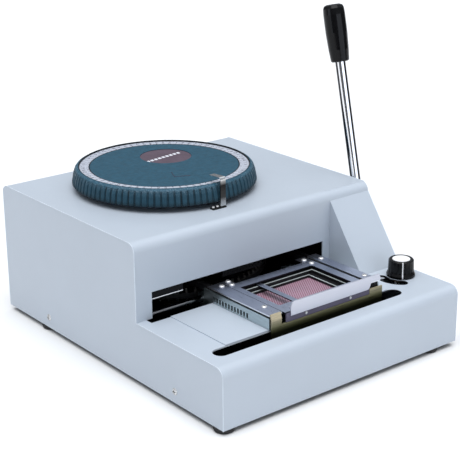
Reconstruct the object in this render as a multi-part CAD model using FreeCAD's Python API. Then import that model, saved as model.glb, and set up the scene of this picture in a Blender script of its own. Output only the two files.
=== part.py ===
import FreeCAD, Part
import math
import os

# Manual character embosser for plastic cards, in millimetres.
# X runs left to right along the front, Y from the front to the back, Z up.
# Lengths below are measured from the cover's centre plane, its front face and
# the table; export() moves everything so that the origin is the middle of the
# machine's footprint on the table.

V = FreeCAD.Vector
AXIS_X = V(1, 0, 0)
AXIS_Y = V(0, 1, 0)
AXIS_Z = V(0, 0, 1)

# ---- cover: one folded steel sheet with a raised rear and a sloped right side
cover_width = 332.0
cover_depth = 412.0
cover_bottom = 6.0
deck_height = 71.5
top_height = 157.6
riser_depth = 143.8
sheet = 1.5
bend_radius = 10.0
wedge_left = 105.5
wedge_foot = 89.7
wedge_head = 150.9
half_width = cover_width / 2
floor_gap = 0.3

# openings in the cover
front_slot = (-150.5, 107.5, 24.3, 41.9)
rear_cut = (-153.0, 103.0, 134.5)
mouth_left = -145.3
mouth_right = 95.1
mouth_top = 101.0

# ---- card line: where the punch, the dial and the type wheels meet
spindle_x = -21.0
spindle_y = 289.5
punch_y = 176.5
type_count = 72
type_circle = spindle_y - punch_y
wheel_radius = 118.0
pin_radius = 1.6
running = 0.06

# ---- dial on the top of the cover
dial_bottom = top_height + 7.5
dial_top = top_height + 26.5
dial_face = dial_top - 2.0
dial_skirt_radius = 107.0
dial_rim_radius = 102.0
dial_ring_outer = 98.2
dial_ring_inner = 87.3
dial_wall = 3.0
dial_flutes = 90
label_radius = 30.5
label_offset = 35.0
label_angle = 51.6

# ---- lever and press gear
shaft_radius = 6.0
lower_shaft = (147.0, 36.0)
upper_shaft = (punch_y, 138.5)
cam_radius = 10.0
cam_offset = 2.8
cam_half_swing = 32.5
crank_radius = 16.0
crank_x = 120.0
lever_x = 174.0
lever_lean = 12.6
lever_rod_radius = 6.0
grip_start = 260.0
grip_length = 67.0
grip_radius = 12.8

# ---- carriage and tray
rod_radius = 4.0
rear_rod = (161.0, 67.5)
front_rod = (37.2, 52.0)
plate_left = -73.0
plate_right = 83.0
rail_bottom = 87.5
rail_top = 89.0
card_length = 85.6
card_width = 54.0
card_thickness = 0.76
card_x = 3.7
card_y = 86.5
card_bed = 77.6

# ---- knob at the right of the deck
knob_x = 142.2
knob_y = 64.3
selector_radius = 23.3
selector_start = 160.0
selector_sweep = 70.0

screw_head = 1.6

# The origin sits under the middle of the whole machine, from the heads of the
# left side screws to the lever's grip.
origin = V((lever_x + grip_radius - half_width - screw_head) / 2, cover_depth / 2, 0)


def box(x0, x1, y0, y1, z0, z1):
    return Part.makeBox(x1 - x0, y1 - y0, z1 - z0, V(x0, y0, z0))


def rod(radius, start, axis, length):
    return Part.makeCylinder(radius, length, start, axis)


def post(radius, x, y, z0, z1):
    return rod(radius, V(x, y, z0), AXIS_Z, z1 - z0)


def crosswise(radius, x0, x1, centre):
    return rod(radius, V(x0, centre[0], centre[1]), AXIS_X, x1 - x0)


def union(first, *others):
    return first.fuse(list(others)).removeSplitter()


def side_prism(points, x0, x1):
    corners = [V(x0, y, z) for y, z in points]
    face = Part.Face(Part.makePolygon(corners + corners[:1]))
    return face.extrude(V(x1 - x0, 0, 0))


def turned(points, x, y):
    corners = [V(x + r, y, z) for r, z in points]
    face = Part.Face(Part.makePolygon(corners + corners[:1]))
    return face.revolve(V(x, y, 0), AXIS_Z, 360)


def polar(x, y, radius, degrees, z=0.0):
    angle = math.radians(degrees)
    return V(x + radius * math.cos(angle), y + radius * math.sin(angle), z)


def around_spindle(shape, count):
    copies = []
    for index in range(count):
        copy = shape.copy()
        turn = 360.0 * index / count
        copy.rotate(V(spindle_x, spindle_y, 0), AXIS_Z, turn)
        copies.append(copy)
    return Part.makeCompound(copies)


def round_bends(shape, bends, radius):
    edges = []
    for edge in shape.Edges:
        box_of_edge = edge.BoundBox
        flat = box_of_edge.YLength < 0.01 and box_of_edge.ZLength < 0.01
        for y, z in bends:
            near = abs(box_of_edge.YMin - y) < 0.05 and abs(box_of_edge.ZMin - z) < 0.05
            if flat and near:
                edges.append(edge)
    return shape.makeFillet(radius, edges)


def upright_edges(shape):
    found = []
    for edge in shape.Edges:
        size = edge.BoundBox
        if size.XLength < 0.01 and size.YLength < 0.01:
            found.append(edge)
    return found


def rounded_box(x0, x1, y0, y1, z0, z1, radius):
    block = box(x0, x1, y0, y1, z0, z1)
    return block.makeFillet(radius, upright_edges(block))


def frame_ring(outer, inner, z0, z1, radius):
    plate = rounded_box(*outer, z0, z1, radius)
    return plate.cut(rounded_box(*inner, z0 - 1, z1 + 1, radius))


def pan_screw(x, y, z, radius, shank=4.0):
    outline = [(0, 0), (radius, 0), (radius - 0.1, 0.7), (0.7 * radius, 1.4), (0, screw_head)]
    arm = 0.64 * radius
    half = 0.15 * radius
    recess = [box(-arm, arm, -half, half, 0.5, 2.0), box(-half, half, -arm, arm, 0.5, 2.0)]
    head = turned(outline, 0, 0).cut(recess)
    screw = union(head, post(1.4, 0, 0, -shank, 0))
    screw.translate(V(x, y, z))
    return screw


def screw_holes(positions, z0, z1):
    return [post(1.5, x, y, z0, z1) for x, y in positions]


def on_side(screw, x, y, z, outward):
    screw.rotate(V(0, 0, 0), AXIS_Y, 90 * outward)
    screw.translate(V(x, y, z))
    return screw


def export(name, shape):
    shape.translate(origin * -1)
    shape.exportStep("parts/" + name + ".step")


# ---------------------------------------------------------------- cover
def cover_profile(inset, bottom):
    return [
        (inset, bottom),
        (inset, deck_height - inset),
        (riser_depth + inset, deck_height - inset),
        (riser_depth + inset, top_height - inset),
        (cover_depth - inset, top_height - inset),
        (cover_depth - inset, bottom),
    ]


def wedge_profile(inset):
    run = wedge_head - wedge_foot
    rise = top_height - deck_height
    along = math.hypot(run, rise)
    start_y = wedge_foot + inset * rise / along
    start_z = deck_height - inset * run / along
    low = deck_height - 6
    high = top_height - inset
    back = wedge_head + 20
    return [
        (start_y + (low - start_z) * run / rise, low),
        (start_y + (high - start_z) * run / rise, high),
        (back, high),
        (back, low),
    ]


def cover_shell():
    outer = side_prism(cover_profile(0, cover_bottom), -half_width, half_width)
    bends = [(0, deck_height), (riser_depth, top_height), (cover_depth, top_height)]
    outer = round_bends(outer, bends, bend_radius)
    wedge = side_prism(wedge_profile(0), wedge_left, half_width)
    wedge = wedge.cut(box(0, 200, 0, 200, 0, deck_height - sheet))
    outer = outer.fuse(wedge)
    inside = side_prism(cover_profile(sheet, cover_bottom - 5), -half_width + sheet, half_width - sheet)
    inner_bends = [
        (sheet, deck_height - sheet),
        (riser_depth + sheet, top_height - sheet),
        (cover_depth - sheet, top_height - sheet),
    ]
    inside = round_bends(inside, inner_bends, bend_radius - sheet)
    inner_wedge = side_prism(wedge_profile(sheet), wedge_left + sheet, half_width - sheet)
    return outer.cut([inside, inner_wedge])


def round_ended_slot(x0, x1, y0, y1, z0, z1):
    radius = (y1 - y0) / 2
    middle = (y0 + y1) / 2
    straight = box(x0 + radius, x1 - radius, y0, y1, z0, z1)
    ends = [post(radius, x, middle, z0, z1) for x in (x0 + radius, x1 - radius)]
    return union(straight, *ends)


def selector_slot(z0, z1):
    half = 6.6
    start, sweep = selector_start - 2, selector_sweep
    ring = post(selector_radius + half, 0, 0, 0, z1 - z0)
    ring = ring.cut(post(selector_radius - half, 0, 0, -1, z1 - z0 + 1))
    sector = Part.makeCylinder(60, z1 - z0, V(0, 0, 0), AXIS_Z, sweep)
    sector.rotate(V(0, 0, 0), AXIS_Z, start)
    slot = ring.common(sector)
    for degrees in (start, start + sweep):
        end = polar(0, 0, selector_radius, degrees)
        slot = slot.fuse(post(half, end.x, end.y, 0, z1 - z0))
    slot.translate(V(knob_x, knob_y, z0))
    return slot


side_screw_depths = (78.0, 321.5)
side_screw_height = 18.9
pointer_screw_x = (-33.0, -27.2)
pointer_screw_y = 182.8


def build_cover():
    shell = cover_shell()
    below, above = deck_height - 3, deck_height + 1
    cuts = [round_ended_slot(*front_slot, below, above)]
    cuts.append(box(rear_cut[0], rear_cut[1], rear_cut[2], riser_depth + sheet + 0.5, below, deck_height))
    cuts.append(
        box(mouth_left, mouth_right, riser_depth - 0.5, riser_depth + sheet + 0.5, below, mouth_top)
    )
    cuts.append(selector_slot(below, above))
    cuts.append(post(5.4, knob_x, knob_y, below, above))
    cuts.append(post(16.0, spindle_x, spindle_y, top_height - 3, top_height + 1))
    cuts.append(crosswise(9.0, half_width - 3, half_width + 1, lower_shaft))
    for depth in side_screw_depths:
        cuts.append(crosswise(1.6, -half_width - 1, half_width + 1, (depth, side_screw_height)))
    for x in pointer_screw_x:
        cuts.append(post(1.6, x, pointer_screw_y, top_height - 3, top_height + 1))
    return shell.cut(cuts)


def build_deck_plate():
    return box(-128.7, 98.0, 42.0, rear_cut[2], deck_height, deck_height + 1.0)


# ---------------------------------------------------------------- base, feet and frame
foot_radius = 11.5
foot_places = [(-155.5, 11.8), (134.0, 11.8), (-155.5, 334.0), (155.5, 334.0)]
base_top = cover_bottom + 2.0
plate_top = base_top + 6.0


def build_base_plate():
    edge = half_width - sheet - floor_gap
    plate = box(-edge, edge, sheet + floor_gap, cover_depth - sheet - floor_gap, cover_bottom, base_top)
    flange_top = 23.0
    left = box(-edge, -edge + sheet, 20, 392, base_top, flange_top)
    right = box(edge - sheet, edge, 20, 392, base_top, flange_top)
    base = union(plate, left, right)
    holes = [post(2.1, x, y, 0, 20) for x, y in foot_places]
    for depth in side_screw_depths:
        holes.append(crosswise(1.6, -half_width, half_width, (depth, side_screw_height)))
    return base.cut(holes)


def build_feet():
    feet = []
    for x, y in foot_places:
        outline = [
            (2.1, 3.0),
            (5.0, 3.0),
            (5.0, 0.0),
            (foot_radius - 2.2, 0.0),
            (foot_radius - 0.9, 0.8),
            (foot_radius - 0.2, 2.4),
            (foot_radius, 4.2),
            (foot_radius - 0.3, cover_bottom),
            (2.1, cover_bottom),
        ]
        feet.append(turned(outline, x, y))
    return Part.makeCompound(feet)


def build_foot_screws():
    screws = []
    for x, y in foot_places:
        head = turned([(0, 1.0), (2.6, 1.0), (3.8, 1.9), (3.8, 3.0), (0, 3.0)], x, y)
        screws.append(union(head, post(1.9, x, y, 3.0, 11.0)))
    return Part.makeCompound(screws)


def build_cover_screws():
    screws = []
    for depth in side_screw_depths:
        for side in (-1, 1):
            screws.append(
                on_side(pan_screw(0, 0, 0, 3.9), side * half_width, depth, side_screw_height, side)
            )
    return Part.makeCompound(screws)


side_plate_x = (108.0, 116.0)
upper_plate = (113.0, 121.0)


def build_frame_lower_plate():
    plate = rounded_box(-45, 118, 120, 330, base_top, plate_top, 6)
    return plate


def build_frame_side_plate():
    x0, x1 = side_plate_x
    outline = [
        (132, plate_top),
        (330, plate_top),
        (330, upper_plate[0]),
        (160, upper_plate[0]),
        (160, 56),
        (132, 50),
    ]
    plate = side_prism(outline, x0, x1)
    return plate.cut(crosswise(shaft_radius + running, x0 - 1, x1 + 1, lower_shaft))


detent_pivot = (33.0, 262.0)


def build_frame_upper_plate():
    plate = box(-62, 116, 160, 330, *upper_plate)
    plate = plate.cut(
        [
            post(9.0, spindle_x, punch_y, 100, 130),
            post(14.0, spindle_x, spindle_y, 100, 130),
        ]
    )
    detent_post = union(
        post(5.0, *detent_pivot, upper_plate[1], 125.5),
        post(2.5, *detent_pivot, 125.5, 133.0),
    )
    return union(plate, detent_post)


def build_guide_rods():
    rear = crosswise(rod_radius, -161.5, 104.0, rear_rod)
    front = crosswise(rod_radius, -161.5, 123.0, front_rod)
    return Part.makeCompound([rear, front])


def build_rod_supports():
    blocks = []
    for x0, x1, foot in ((-162, -154, base_top), (99, 105, plate_top)):
        block = box(x0, x1, 155, 167, foot, 73)
        blocks.append(block.cut(crosswise(rod_radius + running, x0 - 1, x1 + 1, rear_rod)))
    for x0, x1 in ((-162, -154), (117, 124)):
        block = box(x0, x1, 31, 43.5, base_top, 58)
        blocks.append(block.cut(crosswise(rod_radius + running, x0 - 1, x1 + 1, front_rod)))
    return Part.makeCompound(blocks)


def build_riser_brace():
    back = riser_depth + sheet
    web = box(-163, -104, back, back + 2, 92, 132)
    lip = box(-163, -104, back + 2, back + 12, 130, 132)
    return union(web, lip)


def build_stripper_bracket():
    web = box(-48, 6, 148, 150, 92, upper_plate[0])
    shelf = box(-48, 6, 150, 168, upper_plate[0] - 2, upper_plate[0])
    studs = []
    for index in range(12):
        stud = Part.makeSphere(1.2, V(-45 + 4.4 * index, 147.6, 94.2 + 0.18 * index))
        studs.append(stud)
    return union(web, shelf, *studs)


def build_ram_guides():
    low, high = upper_plate
    flange = high + 1.5
    bush = turned(
        [(5.05, low), (8.9, low), (8.9, high), (12, high), (12, flange), (5.05, flange)],
        spindle_x,
        punch_y,
    )
    block = box(spindle_x - 12, spindle_x + 12, punch_y - 10, punch_y + 11, plate_top, 41)
    block = block.cut(post(5.05, spindle_x, punch_y, plate_top - 1, 42))
    return Part.makeCompound([bush, block])


spindle_radius = 8.0


def build_spindle_bearings():
    bore = spindle_radius + running
    lower = turned(
        [(bore, plate_top), (20, plate_top), (20, 18), (14, 20), (14, 28), (bore, 28)],
        spindle_x,
        spindle_y,
    )
    upper = turned(
        [(bore, 113), (13.9, 113), (13.9, 121), (19, 121), (19, 123), (bore, 123)],
        spindle_x,
        spindle_y,
    )
    return Part.makeCompound([lower, upper])


def pedestal(x0, x1, centre, foot):
    y, z = centre
    body = side_prism([(y - 14, foot), (y + 14, foot), (y + 9, z), (y - 9, z)], x0, x1)
    body = union(body, crosswise(10.5, x0, x1, centre))
    body = body.cut(box(x0 - 1, x1 + 1, y - 30, y + 30, foot - 20, foot))
    return body.cut(crosswise(shaft_radius + running, x0 - 1, x1 + 1, centre))


def build_shaft_pedestals():
    lower = pedestal(-4, 6, lower_shaft, plate_top)
    inner = pedestal(-4, 6, upper_shaft, upper_plate[1])
    outer = pedestal(*side_plate_x, upper_shaft, upper_plate[1])
    return Part.makeCompound([lower, inner, outer])


def build_panel_bushes():
    bore = shaft_radius + running
    sleeve = crosswise(8.9, half_width - sheet, half_width, lower_shaft)
    flange = crosswise(12.0, half_width, half_width + 1.5, lower_shaft)
    nut = crosswise(11.5, half_width - 6, half_width - sheet, lower_shaft)
    lever_bush = union(sleeve, flange, nut)
    lever_bush = lever_bush.cut(crosswise(bore, half_width - 8, half_width + 4, lower_shaft))
    under = deck_height - sheet
    knob_bush = post(9.0, knob_x, knob_y, under - 4, under)
    knob_bush = knob_bush.cut(post(5.0 + running, knob_x, knob_y, under - 5, under + 1))
    return Part.makeCompound([lever_bush, knob_bush])


# ---------------------------------------------------------------- pointer at the dial
pointer_x = -21.0
pointer_y = 180.4
pointer_width = 7.2
pointer_height = dial_top + 7.6


def build_pointer_base():
    strip = rounded_box(-36, -17, 178.4, 185.6, top_height, top_height + 1.5, 1.5)
    holes = [(x, pointer_screw_y) for x in pointer_screw_x]
    strip = strip.cut(screw_holes(holes, top_height - 1, top_height + 3))
    half = pointer_width / 2
    return strip.cut(
        box(pointer_x - half, pointer_x + half, pointer_y - 0.6, pointer_y + 0.6, 150, 170)
    )


def build_pointer():
    # a sprung strip folded over the dial's rim, its tip bent down to the ring
    outline = [
        (pointer_y - 0.5, top_height),
        (pointer_y + 0.5, top_height),
        (pointer_y + 0.9, pointer_height - 1.6),
        (pointer_y + 2.2, pointer_height - 0.6),
        (pointer_y + 19.4, pointer_height - 1.5),
        (pointer_y + 20.0, pointer_height - 0.6),
        (pointer_y + 2.0, pointer_height + 0.5),
        (pointer_y + 0.2, pointer_height - 0.4),
        (pointer_y - 0.2, pointer_height - 2.0),
    ]
    half = pointer_width / 2
    return side_prism(outline, pointer_x - half, pointer_x + half)


def build_pointer_screws():
    return Part.makeCompound(
        [pan_screw(x, pointer_screw_y, top_height + 1.5, 1.8) for x in pointer_screw_x]
    )


# ---------------------------------------------------------------- dial and type wheels
boss_radius = 30.0
boss_bottom = dial_bottom + 7.0


def build_dial_body():
    inner_top = dial_face - dial_wall
    outline = [
        (0, dial_face - 2.2),
        (spindle_radius + 0.05, dial_face - 2.2),
        (spindle_radius + 0.05, boss_bottom),
        (boss_radius, boss_bottom),
        (boss_radius, inner_top),
        (dial_rim_radius - dial_wall + 0.6, inner_top),
        (dial_skirt_radius - dial_wall, dial_bottom),
        (dial_skirt_radius, dial_bottom),
        (dial_skirt_radius, dial_bottom + 1.2),
        (dial_skirt_radius - 1.8, dial_top - 8.1),
        (dial_rim_radius + 1.6, dial_top - 3.6),
        (dial_rim_radius, dial_top - 1.5),
        (dial_rim_radius - 1.6, dial_top - 0.5),
        (dial_rim_radius - 2.6, dial_top),
        (dial_ring_outer + 0.3, dial_top),
        (dial_ring_outer, dial_top - 0.3),
        (dial_ring_outer, dial_face - 0.8),
        (dial_ring_inner, dial_face - 0.8),
        (dial_ring_inner, dial_face),
        (0, dial_face),
    ]
    body = turned(outline, spindle_x, spindle_y)
    low = V(spindle_x + dial_skirt_radius + 0.5, spindle_y, dial_bottom - 0.01)
    high = V(spindle_x + dial_rim_radius + 1.6, spindle_y, dial_top - 2.2)
    groove = Part.makeCone(1.5, 1.2, (high - low).Length, low, high - low)
    body = body.cut(around_spindle(groove, dial_flutes))
    place = polar(spindle_x, spindle_y, label_offset, label_angle)
    recess = post(label_radius, place.x, place.y, dial_face - 1.2, dial_top + 1)
    return body.cut(recess)


def build_dial_ring():
    outline = [
        (dial_ring_inner + 0.1, dial_face - 0.8),
        (dial_ring_outer - 0.1, dial_face - 0.8),
        (dial_ring_outer - 0.1, dial_face + 0.2),
        (dial_ring_inner + 0.1, dial_face + 0.2),
    ]
    return turned(outline, spindle_x, spindle_y)


def build_dial_label():
    place = polar(spindle_x, spindle_y, label_offset, label_angle)
    return post(label_radius - 0.2, place.x, place.y, dial_face - 1.2, dial_face - 0.5)


def build_spindle():
    top = boss_bottom
    shaft = post(spindle_radius, spindle_x, spindle_y, plate_top + 2, dial_face - 2.5)
    flange = post(boss_radius - 2, spindle_x, spindle_y, top - 5, top)
    return union(shaft, flange)


def type_wheel(disc_bottom, disc_top, hub_bottom, hub_top):
    bore = spindle_radius + 0.02
    outline = [
        (bore, hub_bottom),
        (20, hub_bottom),
        (20, disc_bottom),
        (wheel_radius, disc_bottom),
        (wheel_radius, disc_top),
        (20, disc_top),
        (20, hub_top),
        (bore, hub_top),
    ]
    wheel = turned(outline, spindle_x, spindle_y)
    hole = post(pin_radius + 0.1, spindle_x, punch_y, disc_bottom - 1, disc_top + 1)
    return wheel.cut(around_spindle(hole, type_count))


def build_type_pins():
    pins = []
    for z0, z1 in ((58.0, 72.0), (93.0, 108.0)):
        pin = post(pin_radius, spindle_x, punch_y, z0, z1)
        pins.extend(around_spindle(pin, type_count).Solids)
    return Part.makeCompound(pins)


detent_radius = 34.0
detent_plane = (126.5, 131.0)


def build_detent_wheel():
    z0, z1 = detent_plane
    wheel = post(detent_radius, spindle_x, spindle_y, z0, z1)
    wheel = union(wheel, post(15.0, spindle_x, spindle_y, z1, z1 + 5))
    notch = post(1.1, spindle_x + detent_radius, spindle_y, z0 - 1, z1 + 1)
    bore = post(spindle_radius + 0.02, spindle_x, spindle_y, z0 - 1, z1 + 6)
    return wheel.cut([around_spindle(notch, type_count), bore])


def build_detent_arm():
    z0, z1 = detent_plane[0] + 0.3, detent_plane[1] - 0.3
    nose_x = spindle_x + detent_radius + 1.05
    nose = post(0.75, nose_x, spindle_y, z0, z1)
    stem = box(nose_x, nose_x + 5, spindle_y - 0.75, spindle_y + 0.75, z0, z1)
    bar = box(nose_x + 3, nose_x + 8, detent_pivot[1], spindle_y + 3, z0, z1)
    foot = box(nose_x + 3, detent_pivot[0], detent_pivot[1] - 4, detent_pivot[1] + 4, z0, z1)
    eye = post(6.0, *detent_pivot, z0, z1)
    arm = union(nose, stem, bar, foot, eye)
    return arm.cut(post(2.5 + running, *detent_pivot, z0 - 1, z1 + 1))


# ---------------------------------------------------------------- lever and press gear
def cam(x0, x1, centre, degrees):
    angle = math.radians(degrees)
    middle = (centre[0] + cam_offset * math.cos(angle), centre[1] + cam_offset * math.sin(angle))
    return crosswise(cam_radius, x0, x1, middle)


def link_angle():
    return math.degrees(math.atan2(upper_shaft[1] - lower_shaft[1], upper_shaft[0] - lower_shaft[0]))


def crank_pin(centre):
    angle = math.radians(link_angle() - 90 - cam_half_swing)
    return (centre[0] + crank_radius * math.cos(angle), centre[1] + crank_radius * math.sin(angle))


def bar_between(a, b, half, x0, x1):
    length = math.hypot(b[0] - a[0], b[1] - a[1])
    bar = box(x0, x1, 0, length, -half, half)
    bar.rotate(V(0, 0, 0), AXIS_X, math.degrees(math.atan2(b[1] - a[1], b[0] - a[0])))
    bar.translate(V(0, a[0], a[1]))
    return union(bar, crosswise(half, x0, x1, a), crosswise(half, x0, x1, b))


def crank(centre):
    pin = crank_pin(centre)
    arm = bar_between(centre, pin, 6.5, crank_x, crank_x + 7)
    boss = crosswise(9.5, crank_x, crank_x + 7, centre)
    return union(arm, boss, crosswise(3.0, crank_x + 7, crank_x + 16, pin))


def build_lever_shaft():
    shaft = crosswise(shaft_radius, -34, 184, lower_shaft)
    lobe = cam(spindle_x - 5, spindle_x + 5, lower_shaft, -cam_half_swing)
    return union(shaft, lobe, crank(lower_shaft))


def build_upper_shaft():
    shaft = crosswise(shaft_radius, -34, crank_x + 7, upper_shaft)
    lobe = cam(spindle_x - 5, spindle_x + 5, upper_shaft, 180 - cam_half_swing)
    return union(shaft, lobe, crank(upper_shaft))


def build_press_link():
    x0, x1 = crank_x + 7.4, crank_x + 13.4
    ends = (crank_pin(lower_shaft), crank_pin(upper_shaft))
    link = bar_between(*ends, 5.0, x0, x1)
    return link.cut([crosswise(3.0 + running, x0 - 1, x1 + 1, end) for end in ends])


def lever_turn(shape):
    # stands a shape built upwards from the shaft's axis up along the leaning lever
    shape.rotate(V(0, 0, 0), AXIS_X, -lever_lean)
    shape.translate(V(lever_x, *lower_shaft))
    return shape


def build_lever_hub():
    disc = rod(15, V(-6, 0, 0), AXIS_X, 12)
    disc = disc.makeChamfer(1.2, disc.Edges)
    neck = post(7.4, 0, 0, 13, 27)
    hub = lever_turn(union(disc, neck))
    bore = crosswise(shaft_radius, lever_x - 30, lever_x + 30, lower_shaft)
    return hub.cut([bore, lever_turn(post(lever_rod_radius, 0, 0, 12, 40))])


def build_lever_rod():
    return lever_turn(post(lever_rod_radius, 0, 0, 12, grip_start + grip_length - 14))


def build_lever_grip():
    low = grip_start
    high = grip_start + grip_length
    outline = [
        (lever_rod_radius, low),
        (9.6, low),
        (10.8, low + 1.2),
        (11.9, low + 14),
        (grip_radius, low + 34),
        (grip_radius, high - 12),
        (12.3, high - 5),
        (10.8, high - 1.8),
        (7.5, high - 0.3),
        (0, high),
        (0, high - 14),
        (lever_rod_radius, high - 14),
    ]
    return lever_turn(turned(outline, 0, 0))


def build_upper_ram():
    stem = post(5.0, spindle_x, punch_y, 111.5, 126.0)
    head = post(9.0, spindle_x, punch_y, 126.0, 129.7)
    return union(stem, head)


def build_lower_ram():
    stem = post(5.0, spindle_x, punch_y, 17.0, 54.5)
    arm = rounded_box(spindle_x - 6, spindle_x + 6, 139, punch_y + 7, 44.8, 51.0, 2)
    return union(stem, arm)


# ---------------------------------------------------------------- carriage
guide_span = (41.0, 142.8)
guide_end = 205.0
rail_screws = [(-61.4, 132.8), (-62.6, 61.1), (77.5, 127.0), (78.4, 58.3)]


def build_front_plate():
    y0, y1 = 36.4, 38.0
    web = box(plate_left - 0.5, 84, y0, y1, 57, 77.2)
    left_ear = box(plate_left - 0.5, -60, y0, y1, 77, 84)
    # the left ear is folded back a little above the guide
    tab = side_prism([(y0, 84), (y1, 84), (39.7, 90.2), (38.2, 90.7)], plate_left - 0.5, -60)
    right_ear = box(65, 84, y0, y1, 77, 83)
    return union(web, left_ear, tab, right_ear)


def build_comb_plate():
    x0, x1 = plate_left, plate_left + 1.6
    plate = box(x0, x1, 41, 150, 72.9, 85)
    leg = box(x0, x1, 136, 142, 58, 72.9)
    plate = union(plate, leg)
    slots = []
    for index in range(12):
        y = 76.2 + 5.05 * index
        slots.append(box(x0 - 1, x1 + 1, y - 1.4, y + 1.4, 75.4, 80))
        slots.append(crosswise(1.4, x0 - 1, x1 + 1, (y, 75.4)))
    return plate.cut(slots)


def build_side_plate():
    x0, x1 = plate_right - 1.6, plate_right
    plate = box(x0, x1, 41, 142.8, 72.9, 85)
    return union(plate, box(x0, x1, 136, 142, 58, 72.9))


def build_tray_guides():
    y0, y1 = guide_span
    left = union(
        box(-71.4, -62, y0, guide_end, 80.5, 84.9),
        box(-71.4, -65, y0, guide_end, 84.9, rail_bottom),
    )
    right = union(
        box(72, 77.4, y0, guide_end, 80.5, 84.9),
        box(75, 77.4, y0, guide_end, 84.9, rail_bottom),
        box(77.4, 81.4, y0, y1, 80.5, rail_bottom),
    )
    holes = screw_holes(rail_screws, 82, 90)
    return Part.makeCompound([left.cut(holes), right.cut(holes)])


def build_tray_rails():
    y0, y1 = guide_span
    left = box(-73.5, -56.6, y0 - 1, y1, rail_bottom, rail_top)
    right = box(70.2, 84, y0 - 1, y1, rail_bottom, rail_top)
    holes = screw_holes(rail_screws, 82, 90)
    return Part.makeCompound([left.cut(holes), right.cut(holes)])


def build_rear_carriage():
    bar = box(-71.4, 81.4, 136, 142, 58, 68)
    blocks = [box(x - 8, x + 8, 142, 167.5, 60, 73.2) for x in (-60, 60)]
    carriage = union(bar, *blocks)
    return carriage.cut(crosswise(rod_radius + running, -80, 90, rear_rod))


def build_front_bearings():
    bearings = []
    for x in (-40, 50):
        block = box(x - 9, x + 9, 31, 43.4, 46, 57)
        bearings.append(block.cut(crosswise(rod_radius + running, x - 10, x + 10, front_rod)))
    return Part.makeCompound(bearings)


def build_rail_screws():
    # the left screws are short, because the card frame's tongue runs under them
    screws = []
    for x, y in rail_screws:
        shank = 1.4 if x < 0 else 5.0
        screws.append(pan_screw(x, y, rail_top, 3.1, shank))
    return Part.makeCompound(screws)


# ---------------------------------------------------------------- tray and card
tray_window = (-48.0, 55.0, 54.6, 118.2)
tray_stack = (-54.4, 64.4, 46.0, 126.0)
tray_screws = [(-50.3, 129.5), (-47.7, 139.0), (59.4, 123.0), (58.8, 135.0)]


def build_tray_plate():
    plate = box(-56, 66, 36.4, 142.8, rail_bottom, rail_top)
    window = rounded_box(*tray_window, 80, 95, 1.5)
    between_arms = box(-44, 52, 130.5, 145, 80, 95)
    return plate.cut([window, between_arms] + screw_holes(tray_screws, 80, 95))


def build_card_step_frame():
    step = frame_ring(tray_stack, (-46, 52.8, 57, 115.3), 81.5, 85.0, 1.0)
    spacer = frame_ring(tray_stack, (-50.5, 57.5, 52, 120.5), 85.0, rail_bottom, 1.0)
    tongues = [box(-64.5, -54, 60, 125, 85.2, 86.9), box(64, 74.5, 60, 125, 85.2, 86.9)]
    frame = union(step, spacer, *tongues)
    return frame.cut(screw_holes(tray_screws, 80, 95))


def build_card_clamp_frame():
    opening = (-38.0, 45.4, 60.9, 112.1)
    return frame_ring(tray_stack, opening, card_bed + card_thickness, 81.5, 1.5)


def build_card_holder():
    opening = (-34.0, 41.4, 65.0, 108.0)
    plate = frame_ring(tray_stack, opening, 76.2, card_bed, 1.5)
    # a block under the left edge carries the line pawl
    pawl_block = box(-61.2, -54.8, 46.2, 52.2, 73.9, 80.0)
    web = box(-54.8, -44, 46.2, 52.2, 73.9, 76.2)
    pawl_way = box(-62, -54.8, 47.9, 50.5, 74.9, 78.1)
    return union(plate, pawl_block.cut(pawl_way), web)


def build_card():
    half_l, half_w = card_length / 2, card_width / 2
    return rounded_box(
        card_x - half_l,
        card_x + half_l,
        card_y - half_w,
        card_y + half_w,
        card_bed,
        card_bed + card_thickness,
        3.18,
    )


def build_card_stop_bar():
    return box(-25, -18, 53, 119.5, 85.0, 86.2)


def build_tray_front():
    wall = box(-54, 64.4, 36.4, 38.0, 77.6, rail_bottom)
    web = box(-50, 60, 38.0, 46.0, 83.0, rail_bottom)
    holes = [rod(0.9, V(x, 36, 81.2), AXIS_Y, 3) for x in (-27.0, 36.0)]
    return union(wall, web).cut(holes)


def build_push_flange():
    # the right end is cut away below so that it clears the rail and its screws
    points = [
        (-49, 84),
        (61, 84),
        (63, 85.2),
        (64.5, 88),
        (65.5, 91.2),
        (80.5, 91.2),
        (77.5, 98.2),
        (-43, 99),
        (-47, 97.4),
        (-49, 94),
    ]
    corners = [V(x, 34.9, z) for x, z in points]
    face = Part.Face(Part.makePolygon(corners + corners[:1]))
    upright = face.extrude(V(0, 1.5, 0))
    return union(upright, box(-44, 62, 36.4, 44, rail_top, rail_top + 1.2))


def build_tray_screws():
    screws = [pan_screw(x, y, rail_top, 3.1) for x, y in tray_screws]
    for x in (-27.0, 36.0):
        stud = rod(0.8, V(x, 36.4, 81.2), AXIS_Y, 1.6)
        cap = rod(1.5, V(x, 35.6, 81.2), AXIS_Y, 0.8)
        screws.append(union(cap, stud))
    return Part.makeCompound(screws)


def build_line_pawl():
    # the sprung pawl runs along the comb's inner face and drops into its slots
    body = box(-69.6, -57.2, 48.0, 50.4, 75.0, 78.0)
    nose = post(1.2, -69.9, 49.2, 75.0, 78.0)
    return union(body, nose)


# ---------------------------------------------------------------- knob
knob_bottom = deck_height + 0.8
knob_top = deck_height + 20.0
knob_radius = 14.6
index_angle = 231.4


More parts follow.
